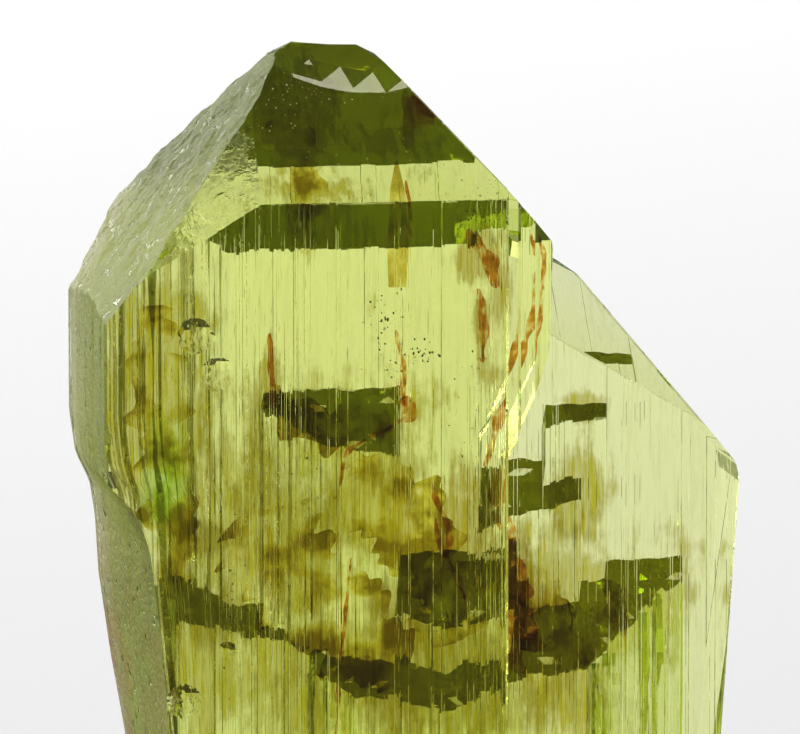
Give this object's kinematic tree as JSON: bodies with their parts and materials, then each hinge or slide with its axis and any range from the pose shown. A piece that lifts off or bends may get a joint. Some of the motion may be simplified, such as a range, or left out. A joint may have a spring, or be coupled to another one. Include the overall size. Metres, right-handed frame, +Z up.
{
  "type": "olivine crystal",
  "caption": "Clear yellow-green olivine crystal with a roof-shaped top and ridged sides, grown together with a shorter one, standing on a flat cut root.",
  "frame": {"origin": "middle of the bounding box on the flat cut root", "axes": "+Z up along the crystal's c axis, -Y towards the viewer of the broad front face, +X towards the shorter crystal"},
  "size_m": [0.022, 0.0138, 0.0309],
  "materials": {
    "gem_olivine": "clear, striated, partly frosted"
  },
  "bodies": {
    "root": {"olivine_crystal": "gem_olivine"}
  },
  "joints": []
}
